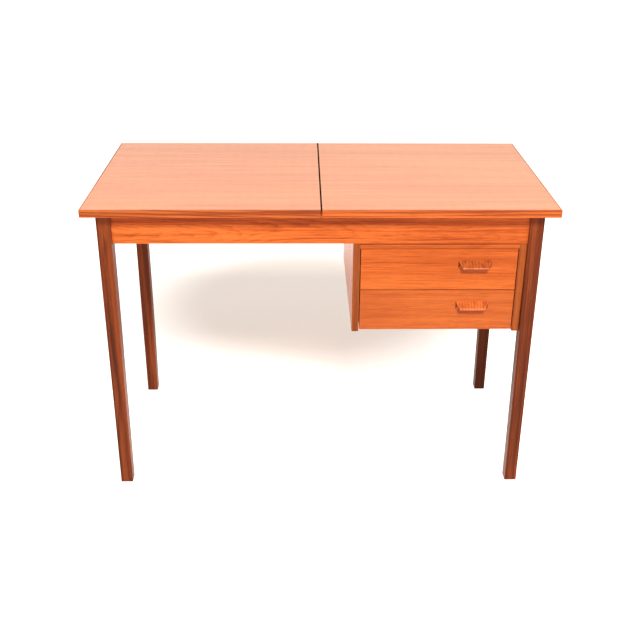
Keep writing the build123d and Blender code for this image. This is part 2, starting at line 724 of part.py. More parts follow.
def drawer_side(side, name):
    """Side with dovetails at the front and a groove for its runner, open at the tail."""
    outer = front_x[0] if side == LEFT else front_x[1]
    board = block((outer, outer - side * BOX_SIDE), (front_y[1], box_end), box_z(name))
    for middle in spread(*box_z(name), TAIL_COUNT):
        board += tail(side, middle)
    half_groove = RUNNER_HEIGHT / 2 + RUNNER_CLEARANCE
    middle = runner_middle(name)
    groove_z = (middle - half_groove, middle + half_groove)
    board -= block((outer, outer - side * RUNNER_GROOVE), (front_y[1], box_end), groove_z)
    return board - drawer_bottom(name) - drawer_back(name)


def drawer_front(name):
    """Veneered front, with sockets for the dovetails and a groove for the bottom."""
    low = drawer_bottoms[name]
    board = block(front_x, front_y, (low, low + front_height))
    face_edges = board.faces().sort_by(Axis.Y)[0].edges()
    board = fillet(face_edges, FRONT_ARRIS)
    board = board - tails(LEFT, name) - tails(RIGHT, name) - drawer_bottom(name)
    for x in pull_screw_x():
        board -= pull_screw_blank(x, name)
    return board


def pull_middle():
    return front_x[1] - PULL_FROM_END


def pull_top(name):
    return drawer_bottoms[name] + front_height - PULL_FROM_TOP


def pull_screw_x():
    return [pull_middle() - PULL_SCREW_SPACING / 2, pull_middle() + PULL_SCREW_SPACING / 2]


def pull_screw_blank(x, name):
    """Round-headed screw from inside the drawer through the front into the pull, without its slot."""
    head_radius, head_height = PULL_SCREW_HEAD
    length = FRONT_THICKNESS + PULL_SCREW_BITE
    dome = Cylinder(head_radius, head_height, align=(Align.CENTER, Align.CENTER, Align.MIN))
    dome = fillet(dome.edges().sort_by(Axis.Z)[-1], head_height * PULL_SCREW_DOME_SHARE)
    shank = Cylinder(PULL_SCREW_RADIUS, length, align=(Align.CENTER, Align.CENTER, Align.MAX))
    point = (x, front_y[1], pull_top(name) - PULL_SCREW_DROP)
    return Plane(origin=point, z_dir=(0, 1, 0)) * (dome + shank)


def pull_screw(x, name):
    head_radius, head_height = PULL_SCREW_HEAD
    slot = Pos(0, 0, head_height) * Box(
        head_radius * SLOT_OVERRUN, SLOT_WIDTH, head_height * 2 * SLOT_DEPTH_SHARE
    )
    point = (x, front_y[1], pull_top(name) - PULL_SCREW_DROP)
    return pull_screw_blank(x, name) - Plane(origin=point, z_dir=(0, 1, 0)) * slot


def pull(name):
    """Wedge-shaped lip pull: dished upper face, rounded lip, and a hollow below for the fingers."""
    nose = PULL_REACH - PULL_LIP_SETBACK
    lip_middle = (PULL_LIP_TOP + PULL_LIP_BOTTOM) / 2
    profile = make_face([
        ThreePointArc((0, 0), (nose / 2, -PULL_LIP_TOP / 2 - PULL_DISH), (nose, -PULL_LIP_TOP)),
        ThreePointArc((nose, -PULL_LIP_TOP), (PULL_REACH, -lip_middle), (nose, -PULL_LIP_BOTTOM)),
        ThreePointArc(
            (nose, -PULL_LIP_BOTTOM), ((nose + PULL_FOOT) / 2, -PULL_UNDERCUT), (PULL_FOOT, -PULL_BASE)
        ),
        Line((PULL_FOOT, -PULL_BASE), (0, -PULL_BASE)),
        Line((0, -PULL_BASE), (0, 0)),
    ])
    half = PULL_WIDTH / 2
    outward = Plane(origin=(half, 0, 0), x_dir=(0, -1, 0), z_dir=(-1, 0, 0))
    length = extrude(outward * profile, PULL_WIDTH)
    plan = Polygon(
        (-half, 0), (half, 0), (half - PULL_TAPER, -PULL_REACH), (-half + PULL_TAPER, -PULL_REACH), align=None
    )
    body = length & extrude(plan, PULL_BASE * 2, both=True)
    shown = [edge for edge in body.edges() if edge.center().Y < -PULL_ARRIS]
    body = fillet(shown, PULL_ARRIS)
    body = Pos(pull_middle(), front_y[0], pull_top(name)) * body
    for x in pull_screw_x():
        body -= pull_screw_blank(x, name)
    return body


# ---- Nodes ------------------------------------------------------------------------------------
def save_frame():
    for side, side_name in ((LEFT, "left"), (RIGHT, "right")):
        for end, end_name in ((FRONT, "front"), (BACK, "back")):
            save(f"leg_{end_name}_{side_name}", leg(side, end))
        save(f"{side_name}_apron", side_apron(side))
    save("leg_glides", *[glide(side, end) for side in (LEFT, RIGHT) for end in (FRONT, BACK)])
    save("front_apron", long_apron(FRONT))
    save("back_apron", long_apron(BACK))
    save("cross_rail", cross_rail())
    save("corner_blocks", corner_block(FRONT), corner_block(BACK))
    corner_places = corner_screw_places(FRONT) + corner_screw_places(BACK)
    save("corner_block_screws", *screws(corner_places, BLOCK_SCREW))
    save("well_battens", *battens())
    batten_places = [place for places in batten_screw_places().values() for place in places]
    save("batten_screws", *screws(batten_places, BATTEN_SCREW))
    save("well_floor", well_floor())


def save_top():
    for side, name in ((LEFT, "left"), (RIGHT, "right")):
        save(f"{name}_leaf_panel", leaf_panel(side))
        save(f"{name}_leaf_front_lipping", leaf_long_lipping(side, FRONT))
        save(f"{name}_leaf_back_lipping", leaf_long_lipping(side, BACK))
        save(f"{name}_leaf_end_lipping", leaf_end_lipping(side))
    save("hinge_fixed_plate", hinge_plate(RIGHT))
    save("hinge_leaf_plate", hinge_plate(LEFT))
    save("hinge_pin", hinge_pin())
    save("hinge_fixed_screws", *screws(hinge_screw_places(RIGHT), HINGE_SCREW))
    save("hinge_leaf_screws", *screws(hinge_screw_places(LEFT), HINGE_SCREW))
    save("leaf_cleats", *[cleat(name) for name in cleat_faces])
    cleat_places = [place for name in cleat_faces for place in cleat_side_places(name)]
    save("cleat_screws", *screws(cleat_places + cleat_top_places(), CLEAT_SCREW))


def save_pedestal():
    for side, name in ((LEFT, "left"), (RIGHT, "right")):
        save(f"pedestal_{name}_side", pedestal_side(side))
        save(f"pedestal_{name}_lipping", pedestal_lipping(side))
    panel = back_panel()
    pins = [back_pin(place) for side in (LEFT, RIGHT) for place in back_pin_places(side)]
    for pin in pins:
        panel -= pin
    save("pedestal_back", panel)
    save("back_panel_pins", *pins)
    save("pedestal_front_rail", front_rail())
    save("pedestal_rear_rail", rear_rail())
    dowels = []
    for side in (LEFT, RIGHT):
        dowels += front_rail_dowels(side).solids() + [rear_rail_dowels(side)]
    save("rail_dowels", *dowels)
    runner_places = []
    for name in drawer_bottoms:
        save(f"{name}_drawer_runners", runner(LEFT, name), runner(RIGHT, name))
        runner_places += runner_screw_places(LEFT, name) + runner_screw_places(RIGHT, name)
    save("runner_screws", *screws(runner_places, RUNNER_SCREW))
    save("pedestal_leg_screws", *screws(leg_screw_places(), LEG_SCREW))


def save_drawers():
    for name in drawer_bottoms:
        save(f"{name}_drawer_front", drawer_front(name))
        save(f"{name}_drawer_left_side", drawer_side(LEFT, name))
        save(f"{name}_drawer_right_side", drawer_side(RIGHT, name))
        save(f"{name}_drawer_back", drawer_back(name))
        save(f"{name}_drawer_bottom", drawer_bottom(name))
        save(f"{name}_drawer_pull", pull(name))
        save(f"{name}_drawer_pull_screws", *[pull_screw(x, name) for x in pull_screw_x()])


save_frame()
save_top()
save_pedestal()
save_drawers()
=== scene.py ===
"""Looks of a vintage sewing table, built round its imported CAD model."""

import json
import math

import bmesh
import bpy
from bpy.props import FloatProperty, FloatVectorProperty, IntProperty, PointerProperty
from mathutils import Matrix, Vector


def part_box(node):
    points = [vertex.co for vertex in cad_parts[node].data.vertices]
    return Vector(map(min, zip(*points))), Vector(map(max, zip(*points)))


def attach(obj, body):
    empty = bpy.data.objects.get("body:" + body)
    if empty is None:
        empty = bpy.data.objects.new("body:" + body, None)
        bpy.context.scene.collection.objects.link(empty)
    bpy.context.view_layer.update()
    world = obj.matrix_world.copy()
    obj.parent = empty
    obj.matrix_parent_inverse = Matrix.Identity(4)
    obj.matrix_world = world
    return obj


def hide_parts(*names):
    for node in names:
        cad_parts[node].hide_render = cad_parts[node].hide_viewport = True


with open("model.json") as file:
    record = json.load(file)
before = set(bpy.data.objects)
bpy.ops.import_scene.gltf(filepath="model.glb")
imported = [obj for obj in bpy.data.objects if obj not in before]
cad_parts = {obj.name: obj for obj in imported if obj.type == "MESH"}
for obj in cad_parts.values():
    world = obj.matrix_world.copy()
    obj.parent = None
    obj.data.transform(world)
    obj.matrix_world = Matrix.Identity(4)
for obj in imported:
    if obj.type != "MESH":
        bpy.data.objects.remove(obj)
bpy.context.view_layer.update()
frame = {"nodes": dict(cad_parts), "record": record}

bl_info = {
    "name": "Sewing table looks",
    "version": (1, 0, 0),
    "blender": (4, 5, 0),
    "location": "3D View > Sidebar > Sewing table",
    "description": "Builds the visible pieces and the finishes of a folding sewing table",
    "category": "Object",
}

DRAWERS = ("upper", "lower")
SIDES = ("left", "right")
LEG_PLACES = [f"{end}_{side}" for end in ("front", "back") for side in SIDES]

RECORD = frame["record"]
BODY_OF = {node: body for body, nodes in RECORD["behaviour"]["bodies"].items() for node in nodes}
X, Y, Z = range(3)

WEAR_AND_LIGHT = "worn"  # how rubbed a face is, which also paints a highlight, or how much painted shade it carries where it is below nought
# marks: rubbed edges, lightened for wear and as a painted highlight; painted shade on the ends of the pulls;
# painted shade in the joint on top of the pulls and under the apron
RUBBED_AND_HIGHLIT = 1.0
PAINTED_SIDE_SHADE_MARK = -0.7
PAINTED_SHADE_MARK = -1.0

MERGED = 0.000002  # points this close are one
IN_PLANE = 0.00001  # points this close to a plane lie in it
ALONG = 0.99  # share of an edge or a normal that makes it lie along an axis
FLAT_ANGLE = math.radians(0.5)  # faces that turn less than this are one flat
CORNER_ANGLE = math.radians(40.0)  # edges that turn more than this are corners
SHARP_ANGLE = math.radians(35.0)  # edges that turn more than this are shaded sharp


# ---- Sizes and colours that a user may change ---------------------------------------------------
class TableShape(bpy.types.PropertyGroup):
    """Roundings of the wooden pieces and the form of the pulls."""

    lipping_arris: FloatProperty(
        name="Lipping arris", description="Rounding of the outer corners of the top",
        default=0.0012, unit="LENGTH",
    )
    board_arris: FloatProperty(
        name="Board arris", description="Softening of the sanded edges of boards",
        default=0.0005, unit="LENGTH",
    )
    # the dark line is the apron's shadow painted on the rail
    painted_shadow_line: FloatProperty(
        name="Dirt line", description="Height of the dark line under the front apron",
        default=0.0034, unit="LENGTH",
    )
    foot_arris: FloatProperty(
        name="Foot arris", description="Rounding round the foot of a leg", default=0.0014, unit="LENGTH"
    )
    arris_segments: IntProperty(
        name="Arris segments", description="Faces across a rounding", default=3, min=1
    )
    pull_taper: FloatProperty(
        name="Pull taper", description="How far each end of a pull slopes in at its nose",
        default=0.0085, unit="LENGTH",
    )
    pull_nose_setback: FloatProperty(
        name="Pull nose setback", description="Upper corner of the nose behind its front",
        default=0.0006, unit="LENGTH",
    )
    pull_lip_top: FloatProperty(
        name="Pull lip top", description="Upper corner of the nose below the upper edge",
        default=0.0128, unit="LENGTH",
    )
    pull_lip_bottom: FloatProperty(
        name="Pull lip bottom", description="Lower corner of the nose below the upper edge", default=0.0170,
        unit="LENGTH",
    )
    pull_hollow: FloatProperty(
        name="Pull hollow", description="Top of the finger hollow below the upper edge",
        default=0.0122, unit="LENGTH",
    )
    pull_hollow_reach: FloatProperty(
        name="Pull hollow reach", description="Top of the finger hollow in front of the drawer",
        default=0.0080, unit="LENGTH",
    )
    pull_foot: FloatProperty(
        name="Pull foot", description="Thickness of the foot below the finger hollow",
        default=0.003, unit="LENGTH",
    )
    # the faces this far sideways, the ends of a pull, get painted shade
    pull_end_slant: FloatProperty(
        name="Pull end slant", description="Faces that look this far sideways carry the dirt of fingers",
        default=0.8,
    )
    pull_rounding: FloatProperty(
        name="Pull rounding", description="Rounding of the outer edges of a pull",
        default=0.0015, unit="LENGTH",
    )
    pull_hollow_rounding: FloatProperty(
        name="Pull hollow rounding", description="Curve of the finger hollow", default=0.0035, unit="LENGTH"
    )


class TableColours(bpy.types.PropertyGroup):
    """Colours of the woods and metals."""

    teak_light: FloatVectorProperty(
        name="Teak light", description="Palest streaks of the veneer",
        subtype="COLOR", default=(0.72, 0.168, 0.028),
    )
    teak_middle: FloatVectorProperty(
        name="Teak middle", description="Main colour of the veneer",
        subtype="COLOR", default=(0.56, 0.106, 0.013),
    )
    teak_dark: FloatVectorProperty(
        name="Teak dark", description="Late wood of the veneer", subtype="COLOR", default=(0.30, 0.040, 0.003)
    )
    # the top's colours are paler than the teak's: painted sheen and top light on the leaves
    top_light: FloatVectorProperty(
        name="Top light", description="Palest streaks of the sunned top",
        subtype="COLOR", default=(0.82, 0.270, 0.060),
    )
    top_middle: FloatVectorProperty(
        name="Top middle", description="Main colour of the sunned top",
        subtype="COLOR", default=(0.74, 0.205, 0.038),
    )
    top_dark: FloatVectorProperty(
        name="Top dark", description="Late wood of the sunned top",
        subtype="COLOR", default=(0.60, 0.140, 0.022),
    )
    lipping_tint: FloatProperty(
        name="Lipping tint", description="Solid teak edges against the veneer", default=0.76, min=0.0, max=1.0
    )
    leg_light: FloatVectorProperty(
        name="Leg light", description="Palest streaks of the legs",
        subtype="COLOR", default=(0.260, 0.052, 0.010),
    )
    leg_middle: FloatVectorProperty(
        name="Leg middle", description="Main colour of the legs",
        subtype="COLOR", default=(0.145, 0.023, 0.004),
    )
    leg_dark: FloatVectorProperty(
        name="Leg dark", description="Darkest streaks of the legs",
        subtype="COLOR", default=(0.058, 0.009, 0.002),
    )
    beech: FloatVectorProperty(
        name="Beech", description="Plain hardwood of the hidden parts",
        subtype="COLOR", default=(0.56, 0.33, 0.165),
    )
    plywood: FloatVectorProperty(
        name="Plywood", description="Birch faces of the thin panels",
        subtype="COLOR", default=(0.66, 0.41, 0.215),
    )
    bronze: FloatVectorProperty(
        name="Bronze", description="Dark bronzed brass of the hinge",
        subtype="COLOR", default=(0.085, 0.022, 0.010),
    )
    steel: FloatVectorProperty(
        name="Steel", description="Bare steel of the screws", subtype="COLOR", default=(0.46, 0.45, 0.43)
    )
    glide: FloatVectorProperty(
        name="Glide", description="Worn plastic of the glides", subtype="COLOR", default=(0.20, 0.095, 0.055)
    )


class TableStage(bpy.types.PropertyGroup):
    """Camera, floor and light."""

    lens: FloatProperty(name="Lens", description="Focal length in millimetres", default=53.65)
    camera_place: FloatVectorProperty(
        name="Camera place", description="Where the camera stands", subtype="TRANSLATION", unit="LENGTH",
        default=(-0.0426, -2.2389, 1.4065),
    )
    camera_pitch: FloatProperty(
        name="Camera pitch", description="Angle below level", subtype="ANGLE", default=math.radians(25.57)
    )
    camera_yaw: FloatProperty(
        name="Camera yaw", description="Angle to the left of +Y", subtype="ANGLE", default=math.radians(-1.19)
    )
    camera_roll: FloatProperty(
        name="Camera roll", description="Tilt of the camera", subtype="ANGLE", default=math.radians(0.395)
    )
    sky: FloatProperty(name="Sky", description="Strength of the even light all round", default=0.44)
    key: FloatProperty(
        name="Key", description="Power of the soft light by the camera", default=166.0, unit="POWER"
    )
    wall: FloatProperty(
        name="Wall", description="Power of the bright wall behind the table", default=85.0, unit="POWER"
    )
    floor: FloatVectorProperty(
        name="Floor", description="Colour of the floor", subtype="COLOR", default=(0.97, 0.84, 0.73)
    )
    floor_glow: FloatVectorProperty(
        name="Floor glow", description="How far the floor under and outside the table is over-lit", size=2,
        default=(0.18, 0.80),
    )


# ---- Shader nodes -------------------------------------------------------------------------------
def put(tree, kind, inputs=None, **settings):
    """Adds one shader node; an input is a plain value or another node's output."""
    made = tree.nodes.new("ShaderNode" + kind)
    for key, value in settings.items():
        setattr(made, key, value)
    for key, value in (inputs or {}).items():
        if isinstance(value, bpy.types.NodeSocket):
            tree.links.new(value, made.inputs[key])
        else:
            made.inputs[key].default_value = value
    return made


def calc(tree, operation, *values):
    """The result of one sum on plain values or outputs."""
    made = put(tree, "Math", dict(enumerate(values)), operation=operation)
    return made.outputs[0]


def clamped_product(tree, value, factor):
    """A product kept between nought and one."""
    made = put(tree, "Math", {0: value, 1: factor}, operation="MULTIPLY", use_clamp=True)
    return made.outputs[0]


def stretched_noise(tree, place, stretch, detail=3.0, roughness=0.55, distortion=0.0):
    """Noise whose lumps are 1 / stretch long along each axis, in metres."""
    scaled = put(tree, "VectorMath", {0: place, 1: stretch}, operation="MULTIPLY")
    noise = put(
        tree, "TexNoise",
        {
            "Vector": scaled.outputs[0], "Scale": 1.0, "Detail": detail, "Roughness": roughness,
            "Distortion": distortion,
        },
    )
    return noise.outputs["Fac"]


def ramp(tree, value, stops, interpolation="LINEAR"):
    """Colours along a value, from pairs of (place, grey or colour)."""
    stops = list(stops)
    made = put(tree, "ValToRGB", {0: value})
    elements = made.color_ramp.elements
    made.color_ramp.interpolation = interpolation
    while len(elements) < len(stops):
        elements.new(0.5)
    for element, (place, colour) in zip(elements, stops):
        element.position = place
        shade = (colour,) * 3 if isinstance(colour, (int, float)) else tuple(colour)
        element.color = (*shade, 1.0)
    return made.outputs["Color"]


def blend_colours(tree, factor, first, second):
    """The first colour at factor 0, and the second at 1."""
    made = put(tree, "Mix", {0: factor, 6: first, 7: second}, data_type="RGBA")
    return made.outputs[2]


def new_material(name):
    """An empty material with its surface shader."""
    made = bpy.data.materials.new(name)
    made.use_nodes = True
    tree = made.node_tree
    tree.nodes.clear()
    surface = put(tree, "BsdfPrincipled")
    output = put(tree, "OutputMaterial")
    tree.links.new(surface.outputs[0], output.inputs["Surface"])
    return made, tree, surface


def bumped(tree, surface, height, strength, distance):
    """Fine relief on a surface, distance deep in metres."""
    bump = put(tree, "Bump", {"Height": height, "Strength": strength, "Distance": distance})
    tree.links.new(bump.outputs[0], surface.inputs["Normal"])


def tinted(colour, factor):
    return tuple(channel * factor for channel in colour)


# turns that lay each axis of the table along the grain
GRAIN_TURNS = {
    "x": (0.0, 0.0, 0.0),
    "y": (0.0, 0.0, -math.pi / 2),
    "z": (0.0, math.pi / 2, 0.0),
}

# lumps per metre of the noises in wood, along the grain and across it
RING_DRIFT = (1.3, 7.0, 7.0)
RING_RIPPLE = (9.0, 45.0, 45.0)
RING_PATCHES = (2.5, 30.0, 30.0)
STREAKS = (1.5, 60.0, 60.0)
FIBRES = (9.0, 420.0, 420.0)
PORES = (40.0, 1500.0, 1500.0)
CLOUDS = (1.6, 5.0, 5.0)
RUB_AND_HIGHLIGHT_LUMPS = (25.0, 60.0, 60.0)

# one growth ring: how late its dark wood starts, how sharply it ends, and what is left where it fades
LATE_WOOD_POWER = 3.0
RING_END_SLOPE = 7.0
RING_END_BLEND = 0.2
RIPPLE_SHARE = 0.12
FADED_RINGS = 0.2

# how the parts of the figure add up to one tone
STREAK_GAIN = 4.0
BASE_TONE = 0.34
MIDDLE_TONE = 0.45
PORE_SPAN = (0.58, 0.70)

# dark pores, rubbed edges lightened for wear and as a painted highlight, and painted shade, against the
# wood's own colours
PORE_TINT = 0.6
RUB_AND_HIGHLIGHT_TINT = 1.12
PAINTED_SHADE_TINT = 0.25
PAINTED_SHADE_SCALE = -0.8

PORE_ROUGHNESS = 0.12
FIBRE_RELIEF = 0.5
RELIEF_STRENGTH = 0.35
RELIEF_DEPTH = 0.00012
LACQUER_IOR = 1.5


def centred(tree, noise, gain):
    """Noise moved to either side of nought and scaled."""
    return calc(tree, "MULTIPLY", calc(tree, "SUBTRACT", noise, 0.5), gain)


def growth_rings(tree, place, parts, heart, rings, taper, wander, ring_mark, fade):
    """Dark late wood round a heart, wandering slowly along the grain."""
    drift = centred(tree, stretched_noise(tree, place, RING_DRIFT, detail=2.0), wander)
    ripple = centred(tree, stretched_noise(tree, place, RING_RIPPLE), wander * RIPPLE_SHARE)
    across = calc(tree, "SUBTRACT", parts["Y"], heart[0])
    depth = calc(tree, "SUBTRACT", parts["Z"], heart[1])
    squares = calc(
        tree, "ADD", calc(tree, "MULTIPLY", across, across), calc(tree, "MULTIPLY", depth, depth)
    )
    radius = calc(tree, "SQRT", squares)
    radius = calc(tree, "ADD", calc(tree, "ADD", drift, ripple), radius)
    radius = calc(tree, "MULTIPLY_ADD", parts["X"], taper, radius)
    phase = calc(tree, "FRACT", calc(tree, "MULTIPLY", radius, rings))
    late_wood = calc(tree, "POWER", phase, LATE_WOOD_POWER)
    ring_end = calc(tree, "MULTIPLY", calc(tree, "SUBTRACT", 1.0, phase), RING_END_SLOPE)
    ring = calc(tree, "SMOOTH_MIN", late_wood, ring_end, RING_END_BLEND)
    patches = stretched_noise(tree, place, RING_PATCHES, detail=2.0)
    ring = calc(tree, "MULTIPLY", ring, calc(tree, "MULTIPLY", patches, 2.0 * ring_mark))
    if fade:
        kept = put(tree, "MapRange", {0: parts["X"], 1: fade[0], 2: fade[1], 3: 1.0, 4: FADED_RINGS})
        ring = calc(tree, "MULTIPLY", ring, kept.outputs[0])
    return ring


def wood(name, palette, grain, heart=(0.04, -0.09), rings=150.0, taper=0.012, wander=0.016, streaks=0.5,
         ring_mark=0.3, fibres=0.5, pores=0.35, clouds=0.4, rub_and_highlight=0.55, rub_and_highlight_colour=None, fade=None,
         roughness=(0.36, 0.5), specular=0.3, shift=(0.0, 0.0, 0.0)):
    """Solid wood: growth rings round a heart that lies beside the piece, streaks, fibres and pores.

    The grain runs along one axis of the table, and heart is the place of the pith across it. rings
    is how many there are to a metre, taper how fast they widen along the grain, and wander how far
    they stray. They fade out between the two places of fade. ring_mark, streaks, fibres, pores and
    clouds are how strongly each of them shows, and so is rub_and_highlight for rubbed edges, which
    are lightened partly for wear and partly as a painted highlight, in rub_and_highlight_colour.
    Faces marked below nought get painted shade. shift moves the whole figure."""
    light, middle, dark = palette
    made, tree, surface = new_material(name)
    coordinates = put(tree, "TexCoord")
    mapping = put(
        tree, "Mapping",
        {"Vector": coordinates.outputs["Object"], "Rotation": GRAIN_TURNS[grain], "Location": shift},
    )
    place = mapping.outputs[0]
    parts = put(tree, "SeparateXYZ", {0: place}).outputs

    ring = growth_rings(tree, place, parts, heart, rings, taper, wander, ring_mark, fade)
    streak = stretched_noise(tree, place, STREAKS, detail=5.0, roughness=0.68, distortion=0.25)
    fibre = stretched_noise(tree, place, FIBRES, roughness=0.7)
    pore_noise = stretched_noise(tree, place, PORES, detail=1.0, roughness=0.4)
    pore = ramp(tree, pore_noise, zip(PORE_SPAN, (0.0, 1.0)))
    cloud = stretched_noise(tree, place, CLOUDS, detail=2.0, roughness=0.5)

    tone = calc(tree, "ADD", ring, centred(tree, streak, streaks * STREAK_GAIN))
    tone = calc(tree, "ADD", tone, centred(tree, fibre, fibres))
    tone = calc(tree, "ADD", tone, centred(tree, cloud, clouds))
    tone = calc(tree, "ADD", tone, BASE_TONE)
    colour = ramp(tree, tone, [(0.0, light), (MIDDLE_TONE, middle), (1.0, dark)], "B_SPLINE")
    pore_cover = calc(tree, "MULTIPLY", pore, pores)
    colour = blend_colours(tree, pore_cover, colour, (*tinted(dark, PORE_TINT), 1.0))

    # rubbed edges, lightened for wear and as a painted highlight, and painted shade on the faces that are
    # marked below nought
    worn = put(tree, "Attribute", attribute_name=WEAR_AND_LIGHT).outputs["Fac"]
    rubbing_and_highlight = calc(tree, "MULTIPLY", worn, stretched_noise(tree, place, RUB_AND_HIGHLIGHT_LUMPS))
    rubbing_and_highlight = clamped_product(tree, rubbing_and_highlight, rub_and_highlight)
    colour = blend_colours(tree, rubbing_and_highlight, colour, (*(rub_and_highlight_colour or tinted(light, RUB_AND_HIGHLIGHT_TINT)), 1.0))
    painted_shade = clamped_product(tree, worn, PAINTED_SHADE_SCALE)
    colour = blend_colours(tree, painted_shade, colour, (*tinted(dark, PAINTED_SHADE_TINT), 1.0))
    tree.links.new(colour, surface.inputs["Base Color"])

    rough = calc(tree, "MULTIPLY_ADD", streak, roughness[1] - roughness[0], roughness[0])
    rough = calc(tree, "MULTIPLY_ADD", pore, PORE_ROUGHNESS, rough)
    tree.links.new(rough, surface.inputs["Roughness"])
    relief = calc(tree, "MULTIPLY_ADD", pore, -1.0, calc(tree, "MULTIPLY", fibre, FIBRE_RELIEF))
    bumped(tree, surface, relief, RELIEF_STRENGTH, RELIEF_DEPTH)
    surface.inputs["IOR"].default_value = LACQUER_IOR
    surface.inputs["Specular IOR Level"].default_value = specular
    return made


# lumps per metre of the noises in metal and plastic
TARNISH = (90.0, 90.0, 90.0)
SCRATCHES = (60.0, 60.0, 900.0)
SCUFFS = (260.0, 260.0, 260.0)

# where tarnish and scuffs begin and are full, what they do to the surface, and metal's tone at a glance
TARNISH_SPAN = (0.35, 0.7)
SCRATCH_ROUGHNESS = 0.22
GLANCE_TONE = (1.0, 0.6, 0.4)
SCUFF_SPAN = (0.3, 0.75)
SCUFF_TINTS = (0.7, 1.5)
SCUFF_ROUGHNESS = 0.3
PLASTIC_ROUGHNESS = 0.4


def metal(name, colour, tarnish, roughness, edge=1.0):
    """Metal with a fine drawn finish and patches of tarnish; edge dims what it reflects at a glance."""
    made, tree, surface = new_material(name)
    place = put(tree, "TexCoord").outputs["Object"]
    patches = stretched_noise(tree, place, TARNISH, detail=4.0, roughness=0.6)
    scratches = stretched_noise(tree, place, SCRATCHES, detail=2.0, roughness=0.5)
    shade = ramp(tree, patches, zip(TARNISH_SPAN, (colour, tarnish)))
    tree.links.new(shade, surface.inputs["Base Color"])
    rough = calc(tree, "MULTIPLY_ADD", scratches, SCRATCH_ROUGHNESS, roughness)
    tree.links.new(rough, surface.inputs["Roughness"])
    bumped(tree, surface, scratches, strength=0.2, distance=0.00005)
    surface.inputs["Metallic"].default_value = 1.0
    surface.inputs["Specular Tint"].default_value = (*tinted(GLANCE_TONE, edge), 1.0)
    return made


def worn_plastic(name, colour):
    """Moulded plastic with scuffs."""
    made, tree, surface = new_material(name)
    place = put(tree, "TexCoord").outputs["Object"]
    scuffs = stretched_noise(tree, place, SCUFFS, detail=5.0, roughness=0.7)
    shade = ramp(tree, scuffs, zip(SCUFF_SPAN, [tinted(colour, factor) for factor in SCUFF_TINTS]))
    tree.links.new(shade, surface.inputs["Base Color"])
    rough = calc(tree, "MULTIPLY_ADD", scuffs, SCUFF_ROUGHNESS, PLASTIC_ROUGHNESS)
    tree.links.new(rough, surface.inputs["Roughness"])
    bumped(tree, surface, scuffs, strength=0.3, distance=0.0002)
    return made


# ---- Finishes of this table ---------------------------------------------------------------------
PLAIN_TINTS = (1.12, 1.0, 0.72)


def palette_of(wood_name, factor=1.0):
    """Light, middle and dark colour of one wood."""
    colours = bpy.context.scene.table_colours
    return [tinted(getattr(colours, f"{wood_name}_{shade}"), factor) for shade in ("light", "middle", "dark")]


def plain_palette(colour):
    """The same three for a wood that is given by one colour."""
    return [tinted(colour, factor) for factor in PLAIN_TINTS]


